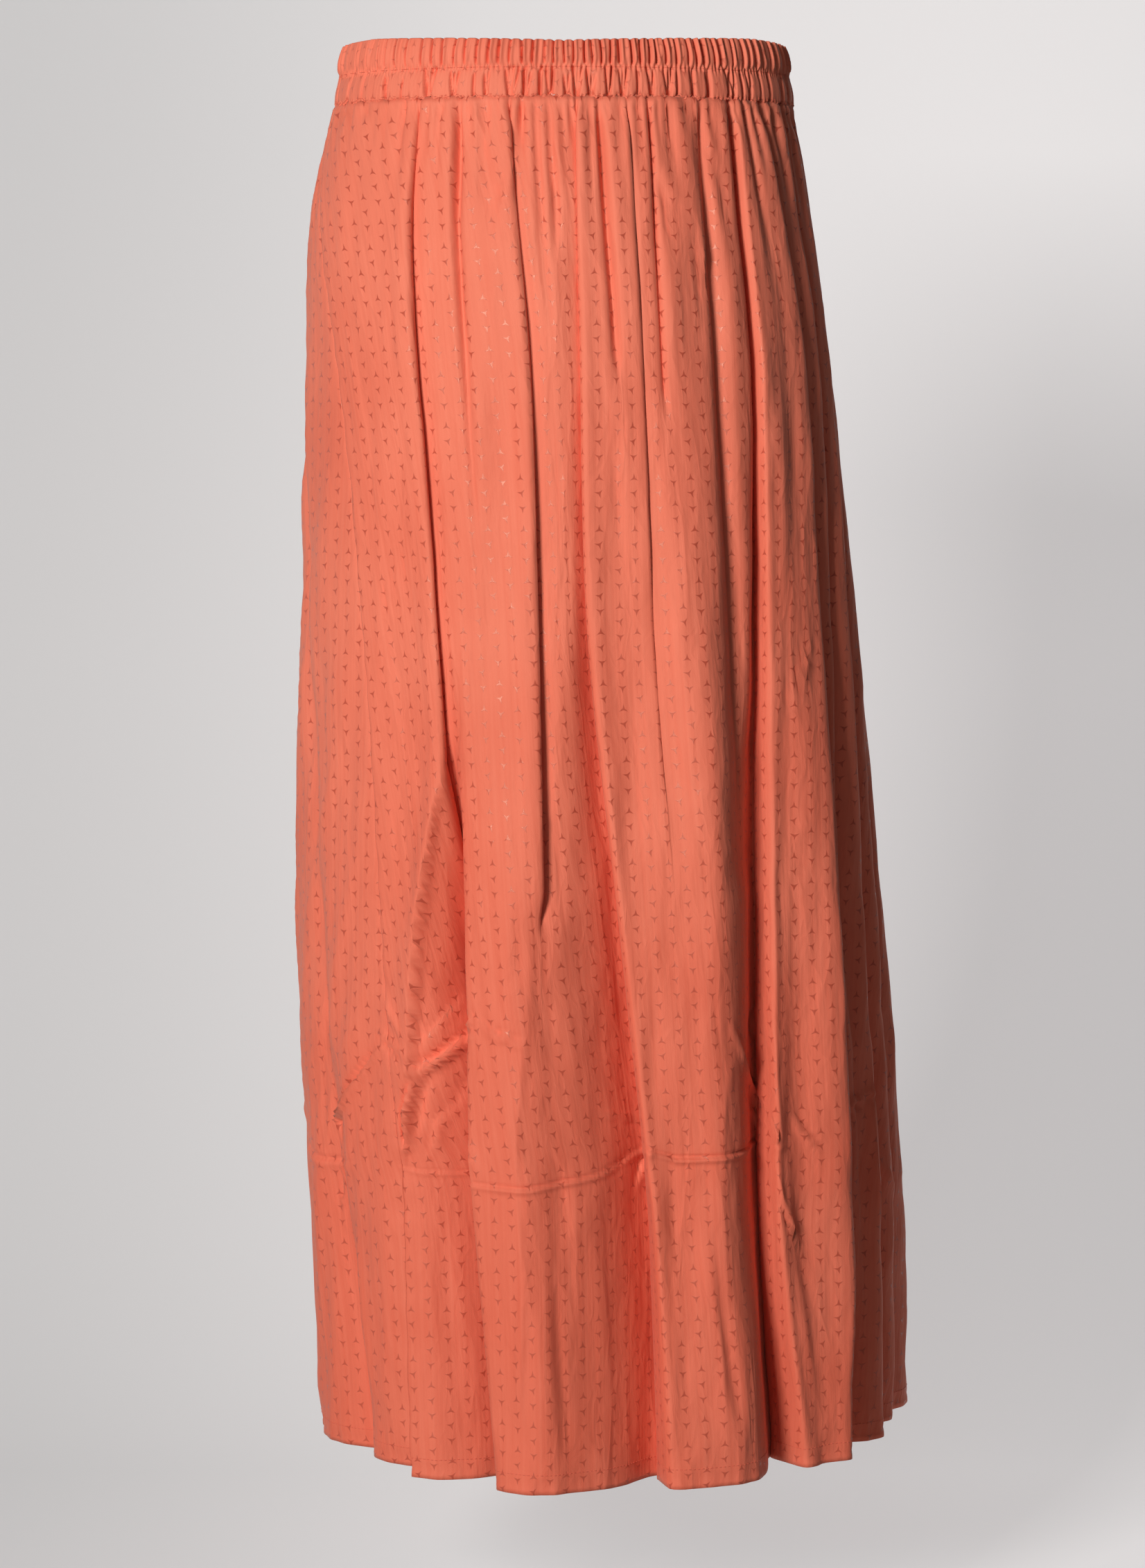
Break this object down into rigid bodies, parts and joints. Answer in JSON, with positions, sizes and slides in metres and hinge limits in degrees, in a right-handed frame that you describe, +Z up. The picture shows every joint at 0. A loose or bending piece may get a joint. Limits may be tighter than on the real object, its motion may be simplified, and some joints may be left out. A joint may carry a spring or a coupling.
{
  "type": "maxi skirt",
  "caption": "Long A-line skirt in coral cloth, gathered on a two-channel elasticated waistband, with deep uneven folds that open towards a narrow stitched hem.",
  "frame": {"origin": "the middle of the waistband, on the skirt's upright axis, at the height of the row of stitching between its two elastic channels", "axes": "+Z up, +Y the way the wearer faces, so the back panel faces -Y, and +X to the wearer's right"},
  "size_m": [0.4221, 0.3446, 0.94],
  "materials": {
    "skirt_cloth": "soft viscose jacquard with small woven marks and a faint sheen",
    "band_cloth": "the same viscose, gathered over elastic in two channels",
    "thread": "matt sewing thread"
  },
  "bodies": {
    "root": {"waistband": "band_cloth", "back_panel": "skirt_cloth", "front_panel": "skirt_cloth"}
  },
  "joints": []
}
